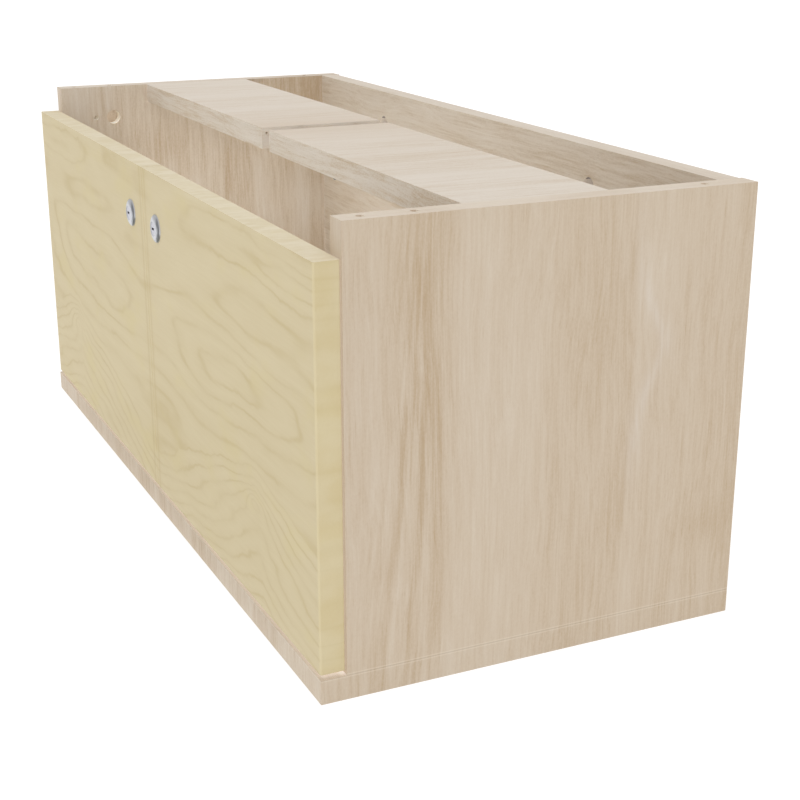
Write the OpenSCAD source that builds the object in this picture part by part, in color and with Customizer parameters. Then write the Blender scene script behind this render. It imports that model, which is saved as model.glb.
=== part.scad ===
// Low two-door cupboard with an open top, standing on its full-size bottom panel.
// Millimetres, +Z up, +Y to the rear. The origin is under the middle of the whole cupboard.
// Depths in the sections below count from the bottom panel's front edge.

/* [Carcass] */
// Overall width, over the bottom panel
body_w = 800; // [600:1:1000]
// Depth of the bottom panel
body_d = 348.5; // [320:0.5:450]
// Overall height, floor to the tops of the sides
body_h = 344.5; // [320:0.5:500]
// Thickness of every carcass board
board_t = 19; // [18:0.5:22]
// How far the back panel sits in front of the sides' rear edges
back_inset = 2.7; // [1:0.1:8]

/* [Stretchers] */
// Front edge of the two flat top stretchers
stretcher_y = 116; // [110:0.5:125]
// Depth of each stretcher, front to rear
stretcher_d = 116.7; // [100:0.1:130]
// Open slot between the two stretchers
slot_w = 19; // [12:0.5:24]

/* [Doors] */
// Thickness of a door
door_t = 19; // [18:0.5:20]
// Door face behind the bottom panel's front edge
door_setback = 0.3; // [0:0.1:1]
// Air between the closed door and the side's front edge
door_air = 0.7; // [0.6:0.1:1.2]
// Air between the door and the bottom panel
door_foot_gap = 3.5; // [2:0.5:5]
// Finger gap from the door's top edge up to the sides' tops
finger_gap = 25.5; // [20:0.5:32]
// Door edge inside the side's outer face
door_margin = 1.6; // [1:0.1:2]
// Gap between the two doors
meeting_gap = 1.2; // [1.2:0.1:3]
// Width of the solid lipping on each meeting edge
lipping_w = 6; // [4:0.5:10]
// Rounding of the doors' outer upright edges, front
door_edge_r = 1.8; // [1:0.1:3]
// Rounding of the doors' other upright edges
door_soft_r = 0.8; // [0.6:0.1:0.9]

/* [Cup hinges] */
// Hinge centre from the door's top or bottom edge
hinge_inset = 70; // [60:1:80]
// Cup diameter
cup_d = 35; // [35:0.1:35.4]
// Cup rim from the door's outer edge
cup_edge = 4; // [3.8:0.1:4.2]
// Depth of the cup body
cup_deep = 12.3; // [12:0.1:12.6]
// Height of the slot in the cup that takes the arm
cup_slot_h = 14; // [13.6:0.1:15]
// Diameter of the hinge pins
pin_d = 3; // [2.6:0.1:3.2]
// Height of the link, along the pins
link_h = 9; // [8:0.1:9.4]
// Thickness of the link plate
link_t = 2.4; // [2:0.1:2.6]
// Mounting plate's screw row behind the side's front edge
plate_row = 37; // [36:0.5:40]
// Distance between the mounting plate's two screws
plate_screw_gap = 32; // [28:1:36]

/* [Locks] */
// Lock axis from the cupboard's centre line
lock_x = 39; // [34:0.5:44]
// Lock axis below the door's top edge
lock_drop = 47; // [44:0.5:60]
// Rosette diameter
rosette_d = 24.5; // [23:0.5:28]
// How far the rosette stands proud of the door
rosette_t = 3.2; // [2.5:0.1:4]
// Diameter of the lock barrel
barrel_d = 18; // [17:0.5:20]
// Diameter of the turning plug
plug_d = 12; // [11:0.5:13]
// Tongue length from the lock axis
tongue_l = 45; // [42:1:48]
// Tongue width
tongue_w = 15; // [14:1:18]

/* [Fittings] */
// Diameter of the connector cams and of the open cam sockets
cam_d = 15; // [14:0.5:16]
// Depth of a cam socket
cam_deep = 12.7; // [12:0.1:13.5]
// Cam axis from the board's edge
cam_inset = 33.5; // [30:0.5:36]
// Diameter of the bolt holes in the boards' edges
bolt_hole_d = 8; // [7.6:0.1:9]
// Dowel diameter
dowel_d = 8; // [6:0.5:9]
// Dowel length
dowel_l = 30; // [24:1:34]
// Diameter of the open holes in the top edges
top_hole_d = 6; // [4:0.5:8]
// Row holes and plate screws
row_hole_d = 5; // [4:0.1:5.5]
// Diameter of the small pilot hole in each stretcher's inner end
pilot_d = 2.5; // [2:0.1:4]

/* [Hidden] */

$fn = 48;
e = 0.01;                       // overrun of a cut past the face that it opens
fit = 0.05;                     // radial clearance of a seated pin, dowel or cup

// Places that several pieces share
side_y = door_setback + door_t + door_air;
side_d = body_d - side_y;
inner_w = body_w - 2 * board_t;
back_rear_y = body_d - back_inset;
back_y = back_rear_y - board_t;
stretcher_z = body_h - board_t;
stretcher_l = (inner_w - slot_w) / 2;
door_z = board_t + door_foot_gap;
door_top = body_h - finger_gap;
door_h = door_top - door_z;
door_edge_x = body_w / 2 - door_margin;
door_w = door_edge_x - meeting_gap / 2;
side_gap_u = board_t - door_margin;         // inner face of the side from the door's outer edge
side_front_v = door_t + door_air;           // front edge of the side from the door's face
lock_z = door_top - lock_drop;
lock_front_y = door_setback - rosette_t;
y_shift = -(body_d + lock_front_y) / 2;

// Rows of fittings
bolt_from_front = 56.3;                     // front bolts behind the sides' front edges
bolt_from_rear = 40;                        // rear bolts from the bottom panel's rear edge
dowel_from_front = 17;
dowel_from_rear = 72;
side_bolt_ys = [side_y + bolt_from_front, body_d - bolt_from_rear];
side_dowel_ys = [side_y + dowel_from_front, body_d - dowel_from_rear];
back_bolt_xs = [-206.6, 206.6];
back_dowel_xs = [-300, 0, 300];
back_side_zs = [body_h * 0.25, body_h * 0.68];
stretcher_bolt_in = 32;                     // stretcher bolts from its front and rear edges
stretcher_bolt_ys = [stretcher_y + stretcher_bolt_in, stretcher_y + stretcher_d - stretcher_bolt_in];
stretcher_dowel_y = stretcher_y + stretcher_d / 2;
top_cam_z = body_h - cam_inset;
low_cam_z = board_t + cam_inset;
cam_z_off = board_t / 2;                    // bolt axis from the board's face
bolt_bite = 11;                             // bolt thread in the other board
bolt_bite_d = 5;
bolt_neck_d = 3.8;
bolt_neck_l = 6;
bolt_head_d = 6.4;
bolt_head_t = 2.5;
cam_web_t = 1.2;                            // width of the cam's cross slot
pilot_in = 4.6;                             // pilot hole from the stretcher's front edge
pilot_drop = 5;                             // and below its top
buffer_d = 8;
buffer_in = 16;                             // buffers from the doors' top and bottom edges

// Hinge pivots, from the door's outer edge (u) and the door's face (v)
arm_pivot = [31.5, 12.9];
cup_pivot = [12, 16.5];
eye_r = 2.7;
nose_r = 3.4;
cheek_t = 1.4;
cheek_z = link_h / 2 + 0.3;
arm_half = cheek_z + cheek_t;
arm_web_u = arm_pivot[0] + nose_r;          // outer face of the arm's web
arm_web_t = 1.4;
arm_flange_u = 24;
arm_back_v = side_front_v + 62;
arm_web_v = side_front_v + 2;
plate_v = side_front_v + plate_row;
plate_foot_t = 2.5;
plate_foot_w = 16;
plate_spine_d = 36;
plate_screw_l = 12;
plate_head_d = 8;
plate_head_t = 2;
arm_screw_in = 9;                           // arm screws each way from the plate's screw row
arm_screw_d = 4;
arm_head_d = 7.4;
arm_head_t = 2;
plate_top_u = arm_web_u - arm_web_t;
cup_u = cup_edge + cup_d / 2;
cup_floor_t = 1.2;
wing_t = 1.2;
wing_u = side_gap_u + 0.8;
wing_l = 22;
wing_screw_u = cup_u + 9.5;
wing_screw_z = 22.5;
cup_screw_d = 3.3;
cup_screw_l = 11;
cup_head_d = 7;
cup_head_t = 1.8;
cup_pin_l = 22.4;
hinge_zs = [door_z + hinge_inset, door_top - hinge_inset];

// Lock, from the door's face
nut_t = 4;
barrel_back_v = door_t + nut_t + 1.5;
square_w = 7;
square_l = 2.4;
tongue_t = 2;
tongue_crank = 3;
key_w = 6;
key_t = 2;
key_deep = 12;
tail_screw_d = 3;
tail_screw_l = 7.5;
tail_head_d = 9;
tail_head_t = 2.2;

// Colours
oak = [0.80, 0.74, 0.65];
birch = [0.85, 0.78, 0.65];
lipping = [0.84, 0.76, 0.62];
steel = [0.72, 0.72, 0.74];
zinc = [0.62, 0.62, 0.64];
chrome = [0.82, 0.82, 0.84];
beech = [0.78, 0.66, 0.50];
rubber = [0.85, 0.85, 0.85];

// Everything below is drawn from the bottom panel's front edge, then set in the frame here
module placed() translate([0, y_shift, 0]) children();

// Right-hand pieces are drawn once, and mirrored for the left
module on_side(s) {
    if (s > 0) children();
    else mirror([1, 0, 0]) children();
}

// A board from corner to size
module board(x, y, z, w, d, h) translate([x, y, z]) cube([w, d, h]);

module hole_x(p, d, l) translate(p) rotate([0, 90, 0]) cylinder(d = d, h = l);
module hole_y(p, d, l) translate(p) rotate([-90, 0, 0]) cylinder(d = d, h = l);
module hole_z(p, d, l) translate(p) cylinder(d = d, h = l);

// Plan of a door leaf, square on one edge and rounded on the other: front by r, rear by q
module leaf_plan(w, t, r, q) {
    square([w - r, t]);
    translate([0, r]) square([w - q, t - r]);
    translate([0, r]) square([w, t - r - q]);
    translate([w - r, r]) circle(r = r);
    translate([w - q, t - q]) circle(r = q);
}

// Carcass

module bottom_panel() color(oak) placed() difference() {
    board(-body_w / 2, 0, 0, body_w, body_d, board_t);
    for (s = [-1, 1], y = side_bolt_ys)
        hole_z([s * (body_w - board_t) / 2, y, board_t - bolt_bite - 0.5],
            bolt_bite_d + 2 * fit, bolt_bite + 1);
    for (s = [-1, 1], y = side_dowel_ys)
        hole_z([s * (body_w - board_t) / 2, y, board_t - dowel_l * 0.4 - 0.5], dowel_d + 2 * fit, dowel_l);
    for (x = back_bolt_xs)
        hole_z([x, back_y + board_t / 2, board_t - bolt_bite - 0.5], bolt_bite_d + 2 * fit, bolt_bite + 1);
    for (x = back_dowel_xs)
        hole_z([x, back_y + board_t / 2, board_t - dowel_l * 0.4 - 0.5], dowel_d + 2 * fit, dowel_l);
}

module side_panel() difference() {
    board(inner_w / 2, side_y, board_t, board_t, side_d, body_h - board_t);
    // lower joint to the bottom panel
    for (y = side_bolt_ys) {
        hole_x([inner_w / 2 - e, y, low_cam_z], cam_d, cam_deep + e);
        hole_z([inner_w / 2 + cam_z_off, y, board_t - e], bolt_hole_d, cam_inset);
    }
    for (y = side_dowel_ys)
        hole_z([inner_w / 2 + cam_z_off, y, board_t - e], dowel_d + 2 * fit, dowel_l * 0.6 + 0.5);
    // open sockets and holes for a top board
    for (y = side_bolt_ys) {
        hole_x([inner_w / 2 - e, y, top_cam_z], cam_d, cam_deep + e);
        hole_z([inner_w / 2 + cam_z_off, y, top_cam_z], top_hole_d, cam_inset + e);
    }
    hole_z([inner_w / 2 + cam_z_off, side_dowel_ys[0], body_h - 20], top_hole_d, 20 + e);
    hole_x([inner_w / 2 - e, side_y + plate_row, top_cam_z], row_hole_d, 12);
    // joints to the stretcher and the back panel
    for (y = stretcher_bolt_ys)
        hole_x([inner_w / 2 - e, y, stretcher_z + board_t / 2], bolt_bite_d + 2 * fit, bolt_bite + 0.5);
    hole_x([inner_w / 2 - e, stretcher_dowel_y, stretcher_z + board_t / 2],
        dowel_d + 2 * fit, dowel_l * 0.4 + 0.5);
    for (z = back_side_zs)
        hole_x([inner_w / 2 - e, back_y + board_t / 2, z], bolt_bite_d + 2 * fit, bolt_bite + 0.5);
    // hinge plate screws
    for (z = hinge_zs, k = [-1, 1])
        hole_x([inner_w / 2 - e, side_y + plate_row, z + k * plate_screw_gap / 2], row_hole_d, 13);
}

module side_left() color(oak) placed() on_side(-1) side_panel();
module side_right() color(oak) placed() on_side(1) side_panel();

module back_panel() color(oak) placed() difference() {
    board(-inner_w / 2, back_y, board_t, inner_w, board_t, body_h - board_t);
    for (x = back_bolt_xs, z = [low_cam_z, top_cam_z]) hole_y([x, back_y - e, z], cam_d, cam_deep + e);
    for (x = back_bolt_xs) hole_z([x, back_y + cam_z_off, board_t - e], bolt_hole_d, cam_inset);
    for (x = back_dowel_xs)
        hole_z([x, back_y + board_t / 2, board_t - e], dowel_d + 2 * fit, dowel_l * 0.6 + 0.5);
    for (s = [-1, 1], z = back_side_zs) {
        hole_y([s * (inner_w / 2 - cam_inset), back_y - e, z], cam_d, cam_deep + e);
        on_side(s) hole_x([inner_w / 2 - cam_inset, back_y + cam_z_off, z], bolt_hole_d, cam_inset + e);
    }
}

module stretcher() difference() {
    board(slot_w / 2, stretcher_y, stretcher_z, stretcher_l, stretcher_d, board_t);
    for (y = stretcher_bolt_ys) {
        for (x = [slot_w / 2 + cam_inset, inner_w / 2 - cam_inset])
            hole_z([x, y, stretcher_z - e], cam_d, cam_deep + e);
        hole_x([inner_w / 2 - cam_inset, y, stretcher_z + cam_z_off], bolt_hole_d, cam_inset + e);
        hole_x([slot_w / 2 - e, y, stretcher_z + cam_z_off], bolt_hole_d, cam_inset);
    }
    hole_x([inner_w / 2 - dowel_l * 0.6 - 0.5, stretcher_dowel_y, stretcher_z + board_t / 2],
        dowel_d + 2 * fit, dowel_l);
    hole_x([slot_w / 2 - e, stretcher_y + pilot_in, body_h - pilot_drop], pilot_d, 8);
}

module stretcher_left() color(oak) placed() on_side(-1) stretcher();
module stretcher_right() color(oak) placed() on_side(1) stretcher();

// Joinery

// A cam with its mouth along +X and its screw face at z = 0
module cam() difference() {
    translate([0, 0, 0.1]) cylinder(d = cam_d - 2 * fit, h = cam_deep - 0.2);
    translate([-3, 0, cam_z_off]) rotate([0, 90, 0]) cylinder(d = bolt_hole_d, h = cam_d);
    for (a = [0, 90]) rotate([0, 0, a]) translate([-4, -cam_web_t / 2, 0]) cube([8, cam_web_t, 1.6]);
}

// A bolt along +X, its head at the cam's axis
module cam_bolt(length) {
    translate([1 - bolt_head_t, 0, 0]) rotate([0, 90, 0]) cylinder(d = bolt_head_d, h = bolt_head_t);
    rotate([0, 90, 0]) cylinder(d = bolt_neck_d, h = bolt_neck_l);
    translate([5, 0, 0]) rotate([0, 90, 0]) cylinder(d = bolt_hole_d - 1, h = length - 5);
}

// Frames of every cam: screw face at z = 0, bolt along +X
module at_cams() {
    for (s = [-1, 1]) on_side(s) {
        for (y = side_bolt_ys) translate([inner_w / 2, y, low_cam_z]) rotate([0, 90, 0]) children();
        for (z = back_side_zs)
            translate([inner_w / 2 - cam_inset, back_y, z]) rotate([-90, 0, 0]) children();
        for (y = stretcher_bolt_ys)
            translate([inner_w / 2 - cam_inset, y, stretcher_z]) children();
    }
    for (x = back_bolt_xs)
        translate([x, back_y, low_cam_z]) rotate([-90, 0, 0]) rotate([0, 0, 90]) children();
}

module connector_cams() color(zinc) placed() {
    at_cams() cam();
    for (s = [-1, 1], y = stretcher_bolt_ys) on_side(s)
        translate([slot_w / 2 + cam_inset, y, stretcher_z]) rotate([0, 0, 180]) cam();
}

module connector_bolts() color(steel) placed() at_cams() translate([0, 0, cam_z_off]) {
    cam_bolt(cam_inset);
    translate([cam_inset - e, 0, 0]) rotate([0, 90, 0]) cylinder(d = bolt_bite_d, h = bolt_bite);
}

// Double-ended bolts that tie the two stretchers across the slot
module slot_bolts() color(steel) placed() for (y = stretcher_bolt_ys)
    translate([0, y, stretcher_z + cam_z_off]) for (s = [-1, 1]) on_side(s) {
        translate([-e, 0, 0]) rotate([0, 90, 0])
            cylinder(d = bolt_hole_d - 1, h = slot_w / 2 + cam_inset - 5 + e);
        translate([slot_w / 2 + cam_inset - bolt_neck_l, 0, 0]) rotate([0, 90, 0])
            cylinder(d = bolt_neck_d, h = bolt_neck_l);
        translate([slot_w / 2 + cam_inset - 1, 0, 0]) rotate([0, 90, 0])
            cylinder(d = bolt_head_d, h = bolt_head_t);
    }

module dowels() color(beech) placed() {
    for (s = [-1, 1], y = side_dowel_ys)
        hole_z([s * (body_w - board_t) / 2, y, board_t - dowel_l * 0.4], dowel_d, dowel_l);
    for (x = back_dowel_xs)
        hole_z([x, back_y + board_t / 2, board_t - dowel_l * 0.4], dowel_d, dowel_l);
    for (s = [-1, 1]) on_side(s)
        hole_x([inner_w / 2 - dowel_l * 0.6, stretcher_dowel_y, stretcher_z + board_t / 2], dowel_d, dowel_l);
}

// Clear buffers on the sides' front edges
module door_buffers() color(rubber) placed()
    for (s = [-1, 1], z = [door_z + buffer_in, door_top - buffer_in]) on_side(s)
        hole_y([inner_w / 2 + board_t / 2, side_y - door_air + 0.1, z], buffer_d, door_air - 0.1);

// Doors

// The lock's hole and the hinges' holes are cut through the leaf
module door() difference() {
    translate([meeting_gap / 2 + lipping_w, door_setback, door_z])
        linear_extrude(door_h) leaf_plan(door_w - lipping_w, door_t, door_edge_r, door_soft_r);
    hole_y([lock_x, door_setback - e, lock_z], barrel_d + 2 * fit, door_t + 2 * e);
    for (z = hinge_zs) hinge_frame(z) {
        hole_y([cup_u, door_t - cup_deep - 0.2, 0], cup_d + 4 * fit, cup_deep + 1);
        for (k = [-1, 1])
            hole_y([wing_screw_u, door_t - cup_screw_l - 0.5, k * wing_screw_z],
                cup_screw_d + 0.2, cup_screw_l + 2);
    }
}

module door_lipping() translate([meeting_gap / 2 + lipping_w, door_setback, door_z])
    mirror([1, 0, 0]) linear_extrude(door_h) leaf_plan(lipping_w, door_t, door_soft_r, door_soft_r);

module door_left() color(birch) placed() on_side(-1) door();
module door_right() color(birch) placed() on_side(1) door();
module door_lipping_left() color(lipping) placed() on_side(-1) door_lipping();
module door_lipping_right() color(lipping) placed() on_side(1) door_lipping();

// Cup hinges

// Local axes of a hinge: X inwards from the door's outer edge, Y back from the door's face
module hinge_frame(z) translate([door_edge_x, door_setback, z]) mirror([1, 0, 0]) children();

module at_hinges() for (z = hinge_zs) hinge_frame(z) children();

module hinge_cup() difference() {
    union() {
        hole_y([cup_u, door_t - cup_deep, 0], cup_d, cup_deep);
        translate([wing_u, door_t, -wing_screw_z - 5]) cube([wing_l, wing_t, 2 * wing_screw_z + 10]);
    }
    translate([cup_u - cup_d / 2 + 2.4, door_t - cup_deep + cup_floor_t, -cup_slot_h / 2])
        cube([cup_d - 4.6, cup_deep + wing_t, cup_slot_h]);
    hole_z([cup_pivot[0], cup_pivot[1], -cup_pin_l / 2 - 0.3], pin_d + 2 * fit, cup_pin_l + 0.6);
    for (k = [-1, 1]) hole_y([wing_screw_u, door_t - e, k * wing_screw_z], cup_screw_d + 0.7, wing_t + 2 * e);
}

module cup_pin() hole_z([cup_pivot[0], cup_pivot[1], -cup_pin_l / 2], pin_d, cup_pin_l);

module arm_pin() hole_z([arm_pivot[0], arm_pivot[1], -arm_half], pin_d, 2 * arm_half);

module cup_screw() for (k = [-1, 1]) {
    hole_y([wing_screw_u, door_t - cup_screw_l, k * wing_screw_z], cup_screw_d, cup_screw_l + wing_t + e);
    hole_y([wing_screw_u, door_t + wing_t, k * wing_screw_z], cup_head_d, cup_head_t);
}

// Link with an eye round each pin
module hinge_link() {
    run = cup_pivot - arm_pivot;
    difference() {
        union() {
            for (p = [arm_pivot, cup_pivot]) hole_z([p[0], p[1], -link_h / 2], 2 * eye_r, link_h);
            translate([arm_pivot[0], arm_pivot[1], -link_h / 2]) rotate([0, 0, atan2(run[1], run[0])])
                translate([2.2, -link_t / 2, 0.6]) cube([norm(run) - 4.4, link_t, link_h - 1.2]);
        }
        for (p = [arm_pivot, cup_pivot]) hole_z([p[0], p[1], -link_h], pin_d + 2 * fit + 0.02, 2 * link_h);
    }
}

// Channel arm: two cheeks that run forward to the pin, and a web over the mounting plate
module hinge_arm() difference() {
    union() {
        for (k = [-1, 1]) translate([0, 0, k * (cheek_z + cheek_t / 2) - cheek_t / 2]) {
            translate([arm_pivot[0], arm_pivot[1], 0]) cylinder(r = nose_r, h = cheek_t);
            translate([arm_pivot[0] - nose_r, arm_pivot[1], 0])
                cube([2 * nose_r, arm_web_v + 8 - arm_pivot[1], cheek_t]);
            translate([arm_flange_u, arm_web_v + 4, 0])
                cube([arm_web_u - arm_flange_u, arm_back_v - arm_web_v - 4, cheek_t]);
        }
        translate([arm_web_u - arm_web_t, arm_web_v, -arm_half])
            cube([arm_web_t, arm_back_v - arm_web_v, 2 * arm_half]);
    }
    hole_z([arm_pivot[0], arm_pivot[1], -arm_half - e], pin_d + 2 * fit, 2 * arm_half + 2 * e);
    for (k = [-1, 1])
        hole_x([arm_web_u - arm_web_t - e, plate_v + k * arm_screw_in, 0],
            arm_screw_d + 0.4, arm_web_t + 2 * e);
}

// Mounting plate: a foot across the row holes, and a spine inside the arm
module hinge_plate() difference() {
    union() {
        translate([side_gap_u, plate_v - plate_foot_w / 2, -(plate_screw_gap + plate_foot_w) / 2])
            cube([plate_foot_t, plate_foot_w, plate_screw_gap + plate_foot_w]);
        translate([side_gap_u, plate_v - plate_spine_d / 2, -cheek_z + 0.3])
            cube([plate_top_u - side_gap_u, plate_spine_d, 2 * cheek_z - 0.6]);
    }
    for (k = [-1, 1])
        hole_x([side_gap_u - e, plate_v, k * plate_screw_gap / 2], row_hole_d + 0.4, plate_foot_t + 2 * e);
    for (k = [-1, 1]) hole_x([plate_top_u - 8.5, plate_v + k * arm_screw_in, 0], arm_screw_d + 2 * fit, 9);
}

module plate_screw() for (k = [-1, 1]) {
    hole_x([side_gap_u - plate_screw_l, plate_v, k * plate_screw_gap / 2],
        row_hole_d - 2 * fit, plate_screw_l + plate_foot_t + e);
    hole_x([side_gap_u + plate_foot_t, plate_v, k * plate_screw_gap / 2], plate_head_d, plate_head_t);
}

module arm_screw() for (k = [-1, 1]) translate([arm_web_u, plate_v + k * arm_screw_in, 0]) {
    hole_x([-9, 0, 0], arm_screw_d, 9 + e);
    hole_x([0, 0, 0], arm_head_d, arm_head_t);
}

module hinge_cups_left() color(zinc) placed() on_side(-1) at_hinges() hinge_cup();
module hinge_cups_right() color(zinc) placed() on_side(1) at_hinges() hinge_cup();
module cup_pins_left() color(steel) placed() on_side(-1) at_hinges() cup_pin();
module cup_pins_right() color(steel) placed() on_side(1) at_hinges() cup_pin();
module cup_screws_left() color(steel) placed() on_side(-1) at_hinges() cup_screw();
module cup_screws_right() color(steel) placed() on_side(1) at_hinges() cup_screw();
module hinge_links_left() color(steel) placed() on_side(-1) at_hinges() hinge_link();
module hinge_links_right() color(steel) placed() on_side(1) at_hinges() hinge_link();
module arm_pins_left() color(steel) placed() on_side(-1) at_hinges() arm_pin();
module arm_pins_right() color(steel) placed() on_side(1) at_hinges() arm_pin();
module hinge_arms_left() color(steel) placed() on_side(-1) at_hinges() hinge_arm();
module hinge_arms_right() color(steel) placed() on_side(1) at_hinges() hinge_arm();
module arm_screws_left() color(steel) placed() on_side(-1) at_hinges() arm_screw();
module arm_screws_right() color(steel) placed() on_side(1) at_hinges() arm_screw();
module hinge_plates_left() color(zinc) placed() on_side(-1) at_hinges() hinge_plate();
module hinge_plates_right() color(zinc) placed() on_side(1) at_hinges() hinge_plate();
module plate_screws_left() color(steel) placed() on_side(-1) at_hinges() plate_screw();
module plate_screws_right() color(steel) placed() on_side(1) at_hinges() plate_screw();

// Locks

// Local axes of a lock: origin on its axis at the door's face, Y through the door
module at_lock() translate([lock_x, door_setback, lock_z]) children();

// Barrel and rosette in one, turned about the lock axis
module lock_housing() at_lock() rotate([-90, 0, 0]) rotate_extrude() polygon([
    [plug_d / 2 + fit, -rosette_t + 0.35],
    [plug_d / 2 + 0.4, -rosette_t],
    [rosette_d / 2 - 4, -rosette_t * 0.93],
    [rosette_d / 2 - 2.4, -rosette_t * 0.78],
    [rosette_d / 2 - 1.1, -rosette_t * 0.55],
    [rosette_d / 2 - 0.3, -rosette_t * 0.3],
    [rosette_d / 2, 0],
    [barrel_d / 2, 0],
    [barrel_d / 2, barrel_back_v],
    [plug_d / 2 + fit, barrel_back_v]]);

module lock_nut() at_lock() difference() {
    hole_y([0, door_t, 0], barrel_d + 7, nut_t);
    hole_y([0, door_t - e, 0], barrel_d + 2 * fit, nut_t + 2 * e);
    for (a = [0, 90, 180, 270]) rotate([0, a, 0])
        translate([barrel_d / 2 + 2.2, door_t + 1.5, -1.5]) cube([3, nut_t, 3]);
}

// Plug with its keyway, and a square tail for the tongue
module lock_plug() at_lock() difference() {
    union() {
        hole_y([0, -rosette_t + 0.2, 0], plug_d, barrel_back_v + rosette_t - 0.2);
        translate([-square_w / 2, barrel_back_v - e, -square_w / 2]) cube([square_w, square_l + e, square_w]);
    }
    translate([-key_w / 2, -rosette_t, -key_t / 2]) cube([key_w, key_deep, key_t]);
    hole_y([0, barrel_back_v + square_l - tail_screw_l - 0.5, 0], tail_screw_d + 2 * fit, tail_screw_l + 1.5);
}

// Tongue hanging down at rest; the right one is cranked to pass behind the left one
module lock_tongue(crank) at_lock() translate([0, barrel_back_v + 0.2, 0]) difference() {
    union() {
        hole_y([0, 0, 0], tongue_w, tongue_t);
        translate([-tongue_w / 2, 0, -tongue_w]) cube([tongue_w, tongue_t, tongue_w]);
        translate([-tongue_w / 2, 0, -tongue_w - tongue_t]) cube([tongue_w, crank + tongue_t, tongue_t]);
        translate([-tongue_w / 2, crank, -tongue_l + tongue_w / 2])
            cube([tongue_w, tongue_t, tongue_l - tongue_w / 2 - tongue_w]);
        hole_y([0, crank, -tongue_l + tongue_w / 2], tongue_w, tongue_t);
    }
    translate([-square_w / 2 - fit, -e, -square_w / 2 - fit])
        cube([square_w + 2 * fit, tongue_t + 2 * e, square_w + 2 * fit]);
}

module tongue_screw() at_lock() {
    hole_y([0, barrel_back_v + square_l - tail_screw_l, 0], tail_screw_d, tail_screw_l + e);
    hole_y([0, barrel_back_v + square_l, 0], tail_head_d, tail_head_t);
}

module lock_housing_left() color(chrome) placed() on_side(-1) lock_housing();
module lock_housing_right() color(chrome) placed() on_side(1) lock_housing();
module lock_nut_left() color(zinc) placed() on_side(-1) lock_nut();
module lock_nut_right() color(zinc) placed() on_side(1) lock_nut();
module lock_plug_left() color(chrome) placed() on_side(-1) lock_plug();
module lock_plug_right() color(chrome) placed() on_side(1) lock_plug();
module lock_tongue_left() color(steel) placed() on_side(-1) lock_tongue(0);
module lock_tongue_right() color(steel) placed() on_side(1) lock_tongue(tongue_crank);
module tongue_screw_left() color(steel) placed() on_side(-1) tongue_screw();
module tongue_screw_right() color(steel) placed() on_side(1) tongue_screw();

bottom_panel();
side_left();
side_right();
back_panel();
stretcher_left();
stretcher_right();
connector_cams();
connector_bolts();
slot_bolts();
dowels();
door_buffers();
hinge_plates_left();
hinge_plates_right();
plate_screws_left();
plate_screws_right();
hinge_arms_left();
hinge_arms_right();
arm_screws_left();
arm_screws_right();
arm_pins_left();
arm_pins_right();
hinge_links_left();
hinge_links_right();
door_left();
door_right();
door_lipping_left();
door_lipping_right();
hinge_cups_left();
hinge_cups_right();
cup_screws_left();
cup_screws_right();
cup_pins_left();
cup_pins_right();
lock_housing_left();
lock_housing_right();
lock_nut_left();
lock_nut_right();
lock_plug_left();
lock_plug_right();
lock_tongue_left();
lock_tongue_right();
tongue_screw_left();
tongue_screw_right();
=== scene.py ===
"""Looks of the low two-door cupboard: wood decors, metal finishes, fine details, light and camera."""

import math

import bpy
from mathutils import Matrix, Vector

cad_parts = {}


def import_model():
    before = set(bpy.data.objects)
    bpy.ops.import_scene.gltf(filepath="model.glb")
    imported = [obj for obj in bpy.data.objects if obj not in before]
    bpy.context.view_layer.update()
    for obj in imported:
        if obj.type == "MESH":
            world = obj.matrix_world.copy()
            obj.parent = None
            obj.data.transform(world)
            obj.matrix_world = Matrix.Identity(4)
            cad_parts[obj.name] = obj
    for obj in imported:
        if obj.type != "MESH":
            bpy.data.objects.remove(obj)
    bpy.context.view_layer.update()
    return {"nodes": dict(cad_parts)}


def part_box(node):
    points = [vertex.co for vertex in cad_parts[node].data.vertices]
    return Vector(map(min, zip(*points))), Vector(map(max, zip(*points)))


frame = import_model()

MM_PER_M = 1000.0
# Front edge of the bottom panel, in metres
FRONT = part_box("bottom_panel")[0].y
# Level where the sides stand on the bottom panel, in millimetres
PANEL_TOP = 19.0


# Colours

def rgb(r, g, b):
    """Screen colour, 0 to 255, as linear values."""
    linear = []
    for c in (r / 255, g / 255, b / 255):
        linear.append(c / 12.92 if c < 0.04045 else ((c + 0.055) / 1.055) ** 2.4)
    return (*linear, 1.0)


def grey(level):
    return (level, level, level, 1.0)


def tones(**screen):
    """Named screen colours as linear ones."""
    return {name: rgb(*colour) for name, colour in screen.items()}


# Shader helpers

# Painted glow in narrow gaps: emission that stands in for the light reaching them. Its own colour and that
# colour's share, and the reach in metres and the number of the rays that find the gaps
PAINTED_GLOW_TONE = rgb(206, 208, 212)
PAINTED_GLOW_SHARE = 0.6
GAP_REACH = 0.006
GAP_RAYS = 4


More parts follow.
